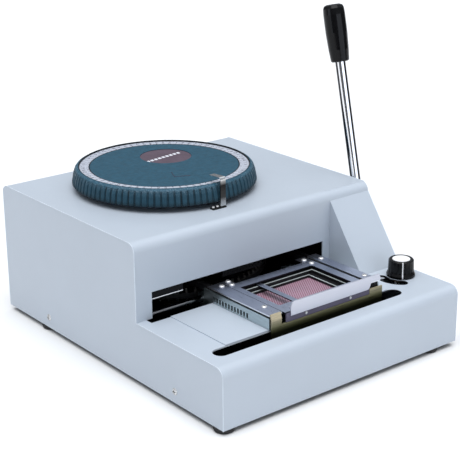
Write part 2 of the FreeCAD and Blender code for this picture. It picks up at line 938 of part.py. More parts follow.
def build_knob():
    outline = [
        (0, knob_bottom),
        (16.3, knob_bottom),
        (16.3, knob_bottom + 2.4),
        (15.2, knob_bottom + 4.4),
        (knob_radius, knob_bottom + 5.4),
        (knob_radius - 0.4, knob_top - 1.0),
        (knob_radius - 1.4, knob_top),
        (10.2, knob_top),
        (10.2, knob_top - 0.8),
        (0, knob_top - 0.8),
    ]
    knob = turned(outline, knob_x, knob_y)
    cuts = [post(5.0, knob_x, knob_y, knob_bottom - 1, knob_top - 5), index_line(0.0)]
    for index in range(18):
        place = polar(knob_x, knob_y, knob_radius + 0.9, index_angle + 10 + 20 * index)
        cuts.append(post(1.7, place.x, place.y, knob_bottom + 5, knob_top + 1))
    return knob.cut(cuts)


def index_line(inset):
    line = box(knob_radius - 1.2, knob_radius + 0.1, -0.7 + inset, 0.7 - inset, knob_bottom + 5.4, knob_top)
    line.rotate(V(0, 0, 0), AXIS_Z, index_angle)
    line.translate(V(knob_x, knob_y, 0))
    return line


def build_knob_trim():
    disc = post(10.1, knob_x, knob_y, knob_top - 0.8, knob_top + 0.2)
    disc = disc.makeChamfer(0.3, [disc.Edges[0]])
    return Part.makeCompound([disc, index_line(0.05)])


def build_knob_spindle():
    stem = post(5.0, knob_x, knob_y, 60, knob_top - 5.2)
    place = polar(0, 0, selector_radius, selector_start)
    arm = box(0, selector_radius, -4, 4, 60, 63)
    arm.rotate(V(0, 0, 0), AXIS_Z, selector_start)
    arm = union(arm, post(4, place.x, place.y, 60, 63), post(3, place.x, place.y, 63, 71))
    arm.translate(V(knob_x, knob_y, 0))
    return union(stem, post(8, knob_x, knob_y, 60, 65.4), arm)


parts = {
    "cover": build_cover,
    "deck_plate": build_deck_plate,
    "base_plate": build_base_plate,
    "feet": build_feet,
    "foot_screws": build_foot_screws,
    "cover_screws": build_cover_screws,
    "frame_lower_plate": build_frame_lower_plate,
    "frame_side_plate": build_frame_side_plate,
    "frame_upper_plate": build_frame_upper_plate,
    "guide_rods": build_guide_rods,
    "rod_supports": build_rod_supports,
    "riser_brace": build_riser_brace,
    "stripper_bracket": build_stripper_bracket,
    "ram_guides": build_ram_guides,
    "spindle_bearings": build_spindle_bearings,
    "shaft_pedestals": build_shaft_pedestals,
    "panel_bushes": build_panel_bushes,
    "pointer_base": build_pointer_base,
    "pointer": build_pointer,
    "pointer_screws": build_pointer_screws,
    "dial_body": build_dial_body,
    "dial_ring": build_dial_ring,
    "dial_label": build_dial_label,
    "spindle": build_spindle,
    "type_wheel_upper": lambda: type_wheel(98.0, 104.0, 94.0, 110.0),
    "type_wheel_lower": lambda: type_wheel(62.0, 68.0, 56.0, 74.0),
    "type_pins": build_type_pins,
    "detent_wheel": build_detent_wheel,
    "detent_arm": build_detent_arm,
    "lever_shaft": build_lever_shaft,
    "lever_hub": build_lever_hub,
    "lever_rod": build_lever_rod,
    "lever_grip": build_lever_grip,
    "press_link": build_press_link,
    "upper_shaft": build_upper_shaft,
    "upper_ram": build_upper_ram,
    "lower_ram": build_lower_ram,
    "front_plate": build_front_plate,
    "comb_plate": build_comb_plate,
    "side_plate": build_side_plate,
    "tray_guides": build_tray_guides,
    "tray_rails": build_tray_rails,
    "rear_carriage": build_rear_carriage,
    "front_bearings": build_front_bearings,
    "rail_screws": build_rail_screws,
    "tray_plate": build_tray_plate,
    "card_step_frame": build_card_step_frame,
    "card_clamp_frame": build_card_clamp_frame,
    "card_holder": build_card_holder,
    "card": build_card,
    "card_stop_bar": build_card_stop_bar,
    "tray_front": build_tray_front,
    "push_flange": build_push_flange,
    "tray_screws": build_tray_screws,
    "line_pawl": build_line_pawl,
    "knob": build_knob,
    "knob_trim": build_knob_trim,
    "knob_spindle": build_knob_spindle,
}

os.makedirs("parts", exist_ok=True)
for name, build in parts.items():
    export(name, build())
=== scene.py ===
import math

import bmesh
import bpy
from mathutils import Matrix, Vector


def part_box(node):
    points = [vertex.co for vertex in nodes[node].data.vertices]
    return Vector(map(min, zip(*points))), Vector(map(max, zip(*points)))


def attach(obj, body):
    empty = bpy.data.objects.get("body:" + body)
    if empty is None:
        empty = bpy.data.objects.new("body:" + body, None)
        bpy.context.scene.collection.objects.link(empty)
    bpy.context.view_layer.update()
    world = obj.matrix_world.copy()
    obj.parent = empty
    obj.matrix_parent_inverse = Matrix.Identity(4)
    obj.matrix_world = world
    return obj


# Looks for a hand-operated card embosser, in metres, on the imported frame.
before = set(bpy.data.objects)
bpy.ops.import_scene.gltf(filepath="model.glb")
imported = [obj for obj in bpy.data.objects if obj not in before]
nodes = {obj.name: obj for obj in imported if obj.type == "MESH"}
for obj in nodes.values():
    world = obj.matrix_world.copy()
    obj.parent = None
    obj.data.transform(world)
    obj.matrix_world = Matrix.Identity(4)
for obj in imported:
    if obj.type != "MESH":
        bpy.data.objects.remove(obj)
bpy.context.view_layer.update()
MM = 0.001


# ---------------------------------------------------------------- shader helpers
class Shade:
    """One procedural material: a Principled shader with helpers that add its detail."""

    def __init__(self, name, colour, rough, metal=0.0):
        self.material = bpy.data.materials.new(name)
        self.material.use_nodes = True
        self.tree = self.material.node_tree
        self.bsdf = self.tree.nodes["Principled BSDF"]
        self.bsdf.inputs["Metallic"].default_value = metal
        self.bsdf.inputs["Roughness"].default_value = rough
        self.bsdf.inputs["Base Color"].default_value = (*colour, 1.0)
        self.coords = self.add("ShaderNodeTexCoord").outputs["Object"]
        self.colour = None
        self.height = None
        self.base = colour

    def add(self, kind, **settings):
        node = self.tree.nodes.new(kind)
        for key, value in settings.items():
            setattr(node, key, value)
        return node

    def link(self, source, socket):
        self.tree.links.new(source, socket)

    def stretched(self, scale=(1, 1, 1), turn=(0, 0, 0)):
        mapping = self.add("ShaderNodeMapping")
        mapping.inputs["Scale"].default_value = scale
        mapping.inputs["Rotation"].default_value = turn
        self.link(self.coords, mapping.inputs["Vector"])
        return mapping.outputs["Vector"]

    def noise(self, scale, detail=4.0, rough=0.5, vector=None):
        node = self.add("ShaderNodeTexNoise")
        node.inputs["Scale"].default_value = scale
        node.inputs["Detail"].default_value = detail
        node.inputs["Roughness"].default_value = rough
        self.link(vector or self.coords, node.inputs["Vector"])
        return node.outputs["Fac"]

    def cells(self, scale, feature="F1", randomness=1.0, vector=None):
        node = self.add("ShaderNodeTexVoronoi", feature=feature)
        node.inputs["Scale"].default_value = scale
        node.inputs["Randomness"].default_value = randomness
        self.link(vector or self.coords, node.inputs["Vector"])
        return node.outputs["Distance"]

    def ramp(self, fac, stops):
        node = self.add("ShaderNodeValToRGB")
        element = node.color_ramp.elements
        while len(element) < len(stops):
            element.new(0.5)
        for item, (place, value) in zip(element, stops):
            item.position = place
            item.color = (*value, 1.0) if isinstance(value, tuple) else (value, value, value, 1.0)
        self.link(fac, node.inputs["Fac"])
        return node.outputs["Color"]

    def maths(self, operation, a, b=None, clamp=False):
        node = self.add("ShaderNodeMath", operation=operation, use_clamp=clamp)
        for socket, value in zip(node.inputs, (a, b)):
            if value is None:
                continue
            if isinstance(value, (int, float)):
                socket.default_value = value
            else:
                self.link(value, socket)
        return node.outputs["Value"]

    def mix(self, fac, a, b):
        node = self.add("ShaderNodeMix", data_type="RGBA")
        self.link(fac, node.inputs["Factor"])
        for socket, value in ((node.inputs[6], a), (node.inputs[7], b)):
            if isinstance(value, tuple):
                socket.default_value = (*value, 1.0)
            else:
                self.link(value, socket)
        return node.outputs[2]

    def axes(self):
        node = self.add("ShaderNodeSeparateXYZ")
        self.link(self.coords, node.inputs["Vector"])
        return node.outputs["X"], node.outputs["Y"], node.outputs["Z"]

    def fade(self, value, start, end):
        """0 where the value is at the start, 1 where it is at the end."""
        node = self.add("ShaderNodeMapRange")
        node.inputs["From Min"].default_value = start
        node.inputs["From Max"].default_value = end
        self.link(value, node.inputs["Value"])
        return node.outputs["Result"]

    def multiply_colours(self, factor, a, b):
        node = self.add("ShaderNodeMix", data_type="RGBA", blend_type="MULTIPLY")
        node.inputs["Factor"].default_value = factor
        self.link(a, node.inputs[6])
        self.link(b, node.inputs[7])
        return node.outputs[2]

    def within(self, value, low, high):
        above = self.maths("GREATER_THAN", value, low)
        below = self.maths("LESS_THAN", value, high)
        return self.maths("MULTIPLY", above, below)

    def mottle(self, scale, spread, detail=5.0, vector=None):
        darker = tuple(c * (1 - spread) for c in self.base)
        lighter = tuple(min(1.0, c * (1 + spread)) for c in self.base)
        fac = self.noise(scale, detail, 0.6, vector)
        self.colour = self.ramp(fac, [(0.3, darker), (0.7, lighter)])
        return self.colour

    def roughen(self, scale, low, high, vector=None):
        fac = self.noise(scale, 4.0, 0.6, vector)
        value = self.ramp(fac, [(0.3, low), (0.7, high)])
        self.link(value, self.bsdf.inputs["Roughness"])

    def bump(self, height, strength, distance):
        node = self.add("ShaderNodeBump")
        node.inputs["Strength"].default_value = strength
        node.inputs["Distance"].default_value = distance
        self.link(height, node.inputs["Height"])
        if self.height is not None:
            self.link(self.height, node.inputs["Normal"])
        self.height = node.outputs["Normal"]

    def done(self):
        if self.colour is not None:
            self.link(self.colour, self.bsdf.inputs["Base Color"])
        if self.height is not None:
            self.link(self.height, self.bsdf.inputs["Normal"])
        return self.material


def spindle_radius(shade):
    """Distance of a point from the dial's axis, as a shader value."""
    x, y, _ = shade.axes()
    dx = shade.maths("SUBTRACT", x, DIAL[0])
    dy = shade.maths("SUBTRACT", y, DIAL[1])
    squares = shade.maths("ADD", shade.maths("MULTIPLY", dx, dx), shade.maths("MULTIPLY", dy, dy))
    return shade.maths("SQRT", squares)


def normal_of(shade, axis):
    """One part of the surface's own normal, as a shader value."""
    split = shade.add("ShaderNodeSeparateXYZ")
    shade.link(shade.add("ShaderNodeNewGeometry").outputs["Normal"], split.inputs["Vector"])
    return split.outputs[axis]


def corners(name):
    """The low and the high corner of a node's box."""
    return (Vector(c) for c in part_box(name))


# ---------------------------------------------------------------- places from the frame
ring_low, ring_high = corners("dial_ring")
DIAL = ((ring_low.x + ring_high.x) / 2, (ring_low.y + ring_high.y) / 2)
RING_TOP = ring_high.z
RING_OUTER = (ring_high.x - ring_low.x) / 2
RING_INNER = RING_OUTER - 11.0 * MM
DIAL_FACE = RING_TOP - 0.2 * MM
dial_low, dial_high = corners("dial_body")
cover_low, cover_high = corners("cover")
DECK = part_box("deck_plate")[0][2]
label_low, label_high = corners("dial_label")
RAIL_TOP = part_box("tray_rails")[1][2]
POINTER_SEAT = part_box("pointer_base")[1][2]

# sizes that the frame doesn't give, measured from the front and the seats of the parts
BEND_RADIUS = 10 * MM
RISER_DEPTH = 143.8 * MM
WEDGE_FOOT = 89.7 * MM
WEDGE_HEAD = 150.9 * MM
INDEX_ANGLE = 231.4
DIAL_FLUTES = 90.0
TYPE_COUNT = 72
RECESS_DEPTHS = (0.3, 0.65)
PRINT_LIFT = 0.03 * MM


# ---------------------------------------------------------------- materials
def cover_paint():
    shade = Shade("cover_paint", (0.448, 0.500, 0.565), 0.36)
    paint = shade.mottle(7.0, 0.02, 3.0)
    shade.roughen(60.0, 0.33, 0.42)
    shade.bump(shade.noise(1700.0, 2.0), 0.05, 0.0002)
    # painted light on the cut edges of the openings in the deck: a pale painted highlight, and near-black
    # painted shade on the edges in the right part of the deck, by the knob
    x, y, z = shade.axes()
    upright = shade.within(normal_of(shade, "Z"), -0.3, 0.3)
    edge = shade.within(z, DECK - 1.6 * MM, DECK - 0.05 * MM)
    inside = shade.within(x, cover_low.x + 8 * MM, cover_high.x - 5 * MM)
    in_deck = shade.within(y, cover_low.y + 20 * MM, cover_low.y + 140 * MM)
    mask = shade.maths("MULTIPLY", upright, edge)
    mask = shade.maths("MULTIPLY", mask, shade.maths("MULTIPLY", inside, in_deck))
    at_right = shade.maths("GREATER_THAN", x, 0.5 * cover_high.x)
    cut_edge_light_and_shade = shade.mix(at_right, (0.58, 0.63, 0.68), (0.012, 0.012, 0.014))
    shade.colour = shade.mix(mask, paint, cut_edge_light_and_shade)
    shade.bsdf.inputs["Coat Weight"].default_value = 0.12
    shade.bsdf.inputs["Coat Roughness"].default_value = 0.25
    return shade.done()


# a paler paint for the cover's rounded edges: a painted highlight
def edge_highlight_paint():
    shade = Shade("cover_edge_highlight_paint", (0.58, 0.64, 0.71), 0.34)
    shade.mottle(40.0, 0.06)
    shade.roughen(300.0, 0.24, 0.4)
    shade.bump(shade.noise(1700.0, 2.0), 0.05, 0.0002)
    return shade.done()


def metal(name, colour, low, high, grain, spread=0.1, strength=0.12, rim=1.0):
    """Brushed or ground metal whose grain runs along the short side of the scale given."""
    shade = Shade(name, colour, low, 1.0)
    shade.bsdf.inputs["Specular Tint"].default_value = (rim, rim, rim, 1.0)
    lines = shade.stretched(grain)
    shade.mottle(1.0, spread, 4.0, lines)
    shade.roughen(1.0, low, high, lines)
    shade.bump(shade.noise(1.0, 3.0, 0.6, lines), strength, 0.0002)
    return shade.done()


def screw_steel():
    """Bright zinc screws with shadow in the cross recess of each head."""
    shade = Shade("screw_steel", (0.66, 0.66, 0.66), 0.25, 0.55)
    bright = shade.mottle(900.0, 0.15)
    x, _, z = shade.axes()
    upward = shade.maths("GREATER_THAN", normal_of(shade, "Z"), 0.9)
    sideways = shade.maths("GREATER_THAN", shade.maths("ABSOLUTE", normal_of(shade, "X")), 0.9)
    recess = None
    for place, seat, outward, facing in (
        (z, RAIL_TOP, 1, upward),
        (z, POINTER_SEAT, 1, upward),
        (x, cover_low.x, -1, sideways),
        (x, cover_high.x, 1, sideways),
    ):
        ends = sorted(seat + outward * depth * MM for depth in RECESS_DEPTHS)
        part = shade.maths("MULTIPLY", shade.within(place, *ends), facing)
        recess = part if recess is None else shade.maths("ADD", recess, part)
    shade.colour = shade.mix(recess, bright, (0.01, 0.01, 0.01))
    shade.roughen(900.0, 0.2, 0.34)
    return shade.done()


def polished_rod():
    """Hard chrome whose reflection falls off towards the rod's sides."""
    shade = Shade("rod_chrome", (0.90, 0.90, 0.92), 0.06, 1.0)
    bright = shade.mottle(400.0, 0.04)
    weight = shade.add("ShaderNodeLayerWeight")
    weight.inputs["Blend"].default_value = 0.5
    sides = shade.ramp(weight.outputs["Facing"], [(0.15, 0.0), (0.24, 1.0)])
    shade.colour = shade.mix(sides, bright, (0.03, 0.03, 0.035))
    shade.roughen(500.0, 0.05, 0.1)
    return shade.done()


def painted(name, colour, low, high, spread=0.12, gloss=0.5):
    shade = Shade(name, colour, low)
    shade.bsdf.inputs["Specular IOR Level"].default_value = gloss
    shade.mottle(60.0, spread)
    shade.roughen(120.0, low, high)
    shade.bump(shade.noise(1500.0, 3.0), 0.12, 0.0003)
    return shade.done()


def rubber():
    shade = Shade("foot_rubber", (0.012, 0.012, 0.013), 0.7)
    shade.mottle(300.0, 0.4)
    shade.roughen(400.0, 0.6, 0.85)
    shade.bump(shade.noise(2500.0, 3.0), 0.3, 0.0003)
    return shade.done()


def gloss_black():
    shade = Shade("gloss_black", (0.003, 0.003, 0.0035), 0.12)
    shade.mottle(90.0, 0.3)
    shade.roughen(70.0, 0.09, 0.2)
    shade.bump(shade.noise(500.0, 2.0), 0.03, 0.0002)
    shade.bsdf.inputs["Specular IOR Level"].default_value = 0.2
    return shade.done()


def dial_plastic():
    """Teal moulded plastic with a leather grain; painted shade darkens its skirt, the skirt's flutes and
    foot, and makes a dark line round the outer edge of the printed ring; a black line also runs round the
    ring's inner edge.
    """
    shade = Shade("dial_plastic", (0.017, 0.070, 0.110), 0.5)
    body = shade.mottle(160.0, 0.18, 6.0)
    radius = spindle_radius(shade)
    x, y, z = shade.axes()
    # painted shade darkens the whole skirt; its flutes are darker still, with dust and painted shade
    on_skirt = shade.maths("GREATER_THAN", radius, RING_OUTER + 4.5 * MM)
    dx = shade.maths("SUBTRACT", x, DIAL[0])
    dy = shade.maths("SUBTRACT", y, DIAL[1])
    angle = shade.maths("ARCTAN2", dy, dx)
    wave = shade.maths("COSINE", shade.maths("MULTIPLY", angle, DIAL_FLUTES))
    flute = shade.ramp(wave, [(0.45, 0.0), (0.95, 1.0)])
    flute_dust_and_shade = shade.ramp(shade.noise(60.0, 3.0), [(0.35, 0.25), (0.65, 0.85)])
    flute = shade.maths("MULTIPLY", flute, flute_dust_and_shade)
    # painted shade darkens the skirt towards its foot, over the gap beneath the dial
    foot = shade.fade(z, dial_low.z + 5 * MM, dial_low.z + 0.5 * MM)
    body = shade.mix(shade.maths("MULTIPLY", foot, 0.7), body, (0.003, 0.007, 0.010))
    body = shade.mix(shade.maths("MULTIPLY", on_skirt, 0.38), body, (0.008, 0.022, 0.030))
    body = shade.mix(shade.maths("MULTIPLY", on_skirt, flute), body, (0.004, 0.010, 0.014))
    # the grain is rubbed pale where hands reach it, on the shoulder of the skirt
    reach = shade.fade(z, dial_high.z - 9 * MM, dial_high.z - 1 * MM)
    speck = shade.ramp(shade.noise(1100.0, 5.0, 0.7), [(0.52, 0.0), (0.62, 1.0)])
    shoulder = shade.maths("GREATER_THAN", radius, RING_OUTER + 2.0 * MM)
    worn = shade.maths("MULTIPLY", shade.maths("MULTIPLY", reach, shoulder), speck)
    body = shade.mix(shade.maths("MULTIPLY", worn, 0.6), body, (0.24, 0.34, 0.42))
    # painted shade: a dark line round the ring's outer edge, where the top edge of the skirt is in shade
    rim = shade.within(radius, RING_OUTER - 0.3 * MM, RING_OUTER + 1.2 * MM)
    body = shade.mix(rim, body, (0.004, 0.008, 0.011))
    inner = shade.within(radius, RING_INNER - 1.2 * MM, RING_INNER + 0.4 * MM)
    shade.colour = shade.mix(inner, body, (0.006, 0.014, 0.022))
    shade.roughen(200.0, 0.42, 0.6)
    shade.bsdf.inputs["Specular IOR Level"].default_value = 0.22
    shade.bump(shade.cells(1250.0, "F1", 1.0), 0.35, 0.0004)
    shade.bump(shade.noise(2600.0, 3.0), 0.1, 0.0002)
    return shade.done()


def ring_print():
    shade = Shade("ring_print", (0.44, 0.47, 0.54), 0.4)
    shade.mottle(220.0, 0.1, 6.0)
    shade.roughen(150.0, 0.32, 0.5)
    shade.bump(shade.noise(1200.0, 3.0), 0.06, 0.0002)
    return shade.done()


def ink():
    shade = Shade("print_ink", (0.030, 0.022, 0.045), 0.5)
    shade.mottle(500.0, 0.4)
    shade.roughen(500.0, 0.4, 0.6)
    return shade.done()


def label_print():
    shade = Shade("label_print", (0.080, 0.050, 0.074), 0.4)
    shade.mottle(90.0, 0.16, 6.0)
    shade.roughen(160.0, 0.28, 0.45)
    shade.bump(shade.noise(1500.0, 3.0), 0.05, 0.0002)
    return shade.done()


def white_print():
    shade = Shade("white_print", (0.66, 0.67, 0.72), 0.45)
    shade.mottle(600.0, 0.12)
    shade.roughen(500.0, 0.35, 0.5)
    return shade.done()


def zinc_yellow():
    """Yellow passivated steel, darker towards its lower edge with painted shade where it reaches down into
    the slot.
    """
    shade = Shade("zinc_yellow", (0.42, 0.35, 0.16), 0.3, 0.25)
    lines = shade.stretched((60, 900, 900))
    _, _, z = shade.axes()
    painted_light_ramp = shade.ramp(
        shade.fade(z, DECK - 2 * MM, DECK + 13.5 * MM),
        [(0.0, (0.008, 0.009, 0.003)), (0.22, (0.070, 0.072, 0.032)), (0.45, (0.230, 0.220, 0.120)),
         (0.75, (0.340, 0.305, 0.190)), (1.0, (0.560, 0.480, 0.320))],
    )
    stain = shade.ramp(shade.noise(1.0, 5.0, 0.6, lines), [(0.3, 0.35), (0.7, 1.0)])
    shade.colour = shade.multiply_colours(0.45, painted_light_ramp, stain)
    shade.roughen(1.0, 0.26, 0.42, lines)
    return shade.done()


def card_print():
    """Dull pink printed card with a fine lattice of pale dots."""
    shade = Shade("card_print", (0.18, 0.050, 0.090), 0.3)
    shade.mottle(26.0, 0.35, 4.0)
    paper = shade.colour
    lattice = shade.stretched((1, 1, 0), (0, 0, math.radians(32)))
    dots = shade.cells(420.0, "F1", 0.0, lattice)
    mask = shade.ramp(dots, [(0.24, 0.9), (0.42, 0.0)])
    shade.colour = shade.mix(mask, paper, (0.54, 0.45, 0.52))
    shade.roughen(200.0, 0.3, 0.44)
    shade.bsdf.inputs["Coat Weight"].default_value = 0.1
    shade.bsdf.inputs["Coat Roughness"].default_value = 0.15
    return shade.done()


def frame_steel(name, inner):
    """A card frame: pale along the top of its inner edge, blackened elsewhere."""
    shade = Shade(name, (0.60, 0.66, 0.66), 0.4, 0.5)
    line = shade.mottle(180.0, 0.1)
    x, y, _ = shade.axes()
    low, high = corners("card_clamp_frame")
    left, right, front, back = (side * MM for side in inner)
    spans = ((x, low.x + left, high.x - right), (y, low.y + front, high.y - back))
    reach = []
    for value, start, end in spans:
        middle = shade.maths("SUBTRACT", value, (start + end) / 2)
        reach.append(shade.maths("SUBTRACT", shade.maths("ABSOLUTE", middle), (end - start) / 2))
    beyond = shade.maths("MAXIMUM", *reach)
    near = shade.maths("LESS_THAN", beyond, 1.7 * MM)
    top = shade.maths("GREATER_THAN", normal_of(shade, "Z"), 0.6)
    mask = shade.maths("MULTIPLY", near, top)
    shade.colour = shade.mix(mask, (0.012, 0.012, 0.014), line)
    shade.roughen(300.0, 0.34, 0.5)
    return shade.done()


def tray_steel(name, painted_edge_colour):
    """Blued brushed steel sheet; its cut edges take the colour given, a painted highlight on the rails and
    painted shade on the tray.
    """
    shade = Shade(name, (0.47, 0.50, 0.60), 0.3, 1.0)
    lines = shade.stretched((900, 60, 900))
    sheet = shade.mottle(1.0, 0.07, 4.0, lines)
    edge = shade.maths("LESS_THAN", normal_of(shade, "Z"), 0.5)
    shade.colour = shade.mix(edge, sheet, painted_edge_colour)
    shade.roughen(1.0, 0.26, 0.36, lines)
    shade.bump(shade.noise(1.0, 3.0, 0.6, lines), 0.03, 0.0002)
    return shade.done()


def brace_steel():
    """Blackened steel with a painted highlight: a bright line along its lower edge."""
    shade = Shade("brace_steel", (0.006, 0.006, 0.007), 0.6)
    shade.mottle(90.0, 0.3)
    _, _, z = shade.axes()
    # painted highlight along the lower edge
    edge = shade.maths("LESS_THAN", z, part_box("riser_brace")[0][2] + 0.8 * MM)
    shade.colour = shade.mix(edge, shade.colour, (0.95, 0.96, 0.98))
    shade.roughen(200.0, 0.5, 0.7)
    shade.bsdf.inputs["Specular IOR Level"].default_value = 0.12
    return shade.done()


def pointer_steel():
    """Bright spring steel with a painted reflection on its upright: dark in the middle, bright at its foot
    and top.
    """
    shade = Shade("pointer_steel", (0.80, 0.80, 0.82), 0.2, 1.0)
    _, _, z = shade.axes()
    low, high = corners("pointer")
    painted_light_ramp = shade.ramp(
        shade.fade(z, low.z, high.z),
        [(0.0, 0.75), (0.12, 0.55), (0.34, 0.05), (0.74, 0.02), (0.86, 0.30), (0.93, 0.85)],
    )
    stain = shade.ramp(shade.noise(400.0, 3.0), [(0.3, 0.85), (0.7, 1.0)])
    shade.colour = shade.multiply_colours(1.0, painted_light_ramp, stain)
    shade.roughen(600.0, 0.14, 0.28)
    return shade.done()


def floor_paint():
    shade = Shade("floor_paint", (0.825, 0.825, 0.825), 0.9)
    shade.mottle(0.8, 0.004)
    return shade.done()


PAINT = cover_paint()
BLACK_STEEL = painted("black_steel", (0.007, 0.007, 0.008), 0.5, 0.7, gloss=0.15)
BRACE = brace_steel()
ROD = metal("black_rod", (0.26, 0.26, 0.27), 0.10, 0.18, (15, 900, 900), 0.2, 0.05, rim=0.2)
GUIDE = painted("dark_guide", (0.012, 0.012, 0.014), 0.4, 0.6, gloss=0.25)
STEP_FRAME = frame_steel("step_frame_steel", (8.4, 11.6, 11.0, 10.7))
CLAMP_FRAME = frame_steel("clamp_frame_steel", (16.4, 19.0, 14.9, 13.9))
POINTER = pointer_steel()
SCREW = screw_steel()
GROUND = metal("ground_steel", (0.60, 0.60, 0.60), 0.16, 0.3, (15, 900, 900))
BRONZE = metal("bronze", (0.60, 0.42, 0.20), 0.25, 0.4, (900, 900, 200))
CAST = metal("cast_grey", (0.17, 0.17, 0.18), 0.4, 0.6, (300, 300, 300))
TYPE = metal("type_metal", (0.66, 0.63, 0.58), 0.22, 0.4, (500, 500, 100))
CHROME = metal("chrome", (0.86, 0.86, 0.88), 0.05, 0.12, (500, 500, 60), 0.04, 0.02, rim=0.0)
GLOSS_BLACK = gloss_black()
ROD_CHROME = polished_rod()
SILVER = painted("spun_silver", (0.80, 0.80, 0.81), 0.3, 0.42, 0.05)
DIAL_TEAL = dial_plastic()
RING = ring_print()
LABEL = label_print()
YELLOW = zinc_yellow()
ZINC = metal("zinc_plate", (0.50, 0.58, 0.60), 0.34, 0.5, (40, 60, 500), 0.1)
# the cut edges get painted shade on the tray and a painted highlight on the rails
TRAY = tray_steel("tray_steel", (0.03, 0.03, 0.04))
RAIL = tray_steel("rail_steel", (0.85, 0.86, 0.90))
TRAY_DARK = painted("tray_dark", (0.10, 0.088, 0.135), 0.35, 0.5)
FLANGE = metal("flange_silver", (0.66, 0.67, 0.74), 0.38, 0.52, (30, 600, 600), 0.03, 0.05)
CARD = card_print()
RUBBER = rubber()

looks = {
    "cover": PAINT, "deck_plate": PAINT,
    "base_plate": BLACK_STEEL, "frame_lower_plate": BLACK_STEEL, "frame_side_plate": BLACK_STEEL,
    "frame_upper_plate": BLACK_STEEL, "rod_supports": BLACK_STEEL, "riser_brace": BRACE,
    "stripper_bracket": BLACK_STEEL, "pointer_base": BLACK_STEEL,
    "feet": RUBBER,
    "foot_screws": SCREW, "cover_screws": SCREW, "rail_screws": SCREW, "tray_screws": SCREW,
    "pointer_screws": SCREW,
    "guide_rods": ROD, "spindle": GROUND, "upper_ram": GROUND, "lower_ram": GROUND,
    "upper_shaft": GROUND, "lever_shaft": GROUND, "press_link": GROUND, "detent_arm": GROUND,
    "knob_spindle": GROUND, "line_pawl": GROUND,
    "ram_guides": BRONZE, "spindle_bearings": BRONZE, "panel_bushes": BRONZE,
    "shaft_pedestals": CAST, "detent_wheel": CAST, "type_wheel_upper": CAST, "type_wheel_lower": CAST,
    "type_pins": TYPE,
    "lever_rod": ROD_CHROME, "lever_hub": CHROME, "pointer": POINTER,
    "lever_grip": GLOSS_BLACK, "knob": GLOSS_BLACK, "knob_trim": SILVER,
    "dial_body": DIAL_TEAL, "dial_ring": RING, "dial_label": LABEL,
    "front_plate": YELLOW,
    "comb_plate": ZINC, "side_plate": ZINC, "tray_guides": GUIDE, "rear_carriage": ZINC,
    "front_bearings": ZINC,
    "tray_rails": RAIL, "tray_plate": TRAY, "card_step_frame": STEP_FRAME, "card_clamp_frame": CLAMP_FRAME,
    "card_holder": TRAY, "card_stop_bar": TRAY,
    "tray_front": TRAY_DARK, "push_flange": FLANGE, "card": CARD,
}
for name, piece in nodes.items():
    piece.data.materials.clear()
    piece.data.materials.append(looks[name])


# ---------------------------------------------------------------- added pieces
def add_piece(name, data, material, body):
    piece = bpy.data.objects.new(name, data)
    bpy.context.collection.objects.link(piece)
    piece.data.materials.clear()
    piece.data.materials.append(material)
    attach(piece, body)


def text_mesh(letter, size, depth):
    curve = bpy.data.curves.new("letter", "FONT")
    curve.body = letter
    curve.size = size
    curve.extrude = depth
    curve.align_x = "CENTER"
    curve.align_y = "CENTER"
    curve.resolution_u = 2
    holder = bpy.data.objects.new("letter", curve)
    bpy.context.collection.objects.link(holder)
    graph = bpy.context.evaluated_depsgraph_get()
    mesh = bpy.data.meshes.new_from_object(holder.evaluated_get(graph))
    bpy.data.objects.remove(holder)
    return mesh


def ring_characters():
    """Two rows of letters and digits round the dial, all facing outwards, and a tick by each."""
    outer = "ABCDEFGHIJKLMNOPQRSTUVWXYZ0123456789"
    rows = (
        (RING_OUTER - 4.0 * MM, 6.4 * MM, outer * 2),
        (RING_OUTER - 8.9 * MM, 4.4 * MM, outer[::-1] * 2),
        (RING_OUTER - 0.8 * MM, 4.0 * MM, "|" * TYPE_COUNT),
    )
    joined = bmesh.new()
    shapes = {}
    for radius, size, letters in rows:
        for index, letter in enumerate(letters):
            key = (letter, size)
            if key not in shapes:
                shapes[key] = text_mesh(letter, size, 0.02 * MM)
            step = 0.5 if letter == "|" else 0.0
            angle = math.radians((index + step) * 360 / len(letters) - 90)
            x = DIAL[0] + radius * math.cos(angle)
            y = DIAL[1] + radius * math.sin(angle)
            place = Vector((x, y, RING_TOP + PRINT_LIFT))
            turn = Matrix.Rotation(angle + math.radians(90), 4, "Z")
            copy = shapes[key].copy()
            if letter == "|":
                copy.transform(Matrix.Scale(0.35, 4, (0, 1, 0)))
            copy.transform(Matrix.Translation(place) @ turn)
            joined.from_mesh(copy)
            bpy.data.meshes.remove(copy)
    mesh = bpy.data.meshes.new("ring_characters")
    joined.to_mesh(mesh)
    joined.free()
    add_piece("ring_characters", mesh, INK, "dial")


def tube(name, points, radius, material, body):
    curve = bpy.data.curves.new(name, "CURVE")
    curve.dimensions = "3D"
    curve.bevel_depth = radius
    curve.bevel_resolution = 3
    curve.use_fill_caps = True
    line = curve.splines.new("POLY")
    line.points.add(len(points) - 1)
    for point, place in zip(line.points, points):
        point.co = (*place, 1.0)
    add_piece(name, curve, material, body)


def arc(centre, radius, start, end, steps=8):
    points = []
    for index in range(steps + 1):
        angle = math.radians(start + (end - start) * index / steps)
        points.append((centre[0] + radius * math.cos(angle), centre[1] + radius * math.sin(angle)))
    return points


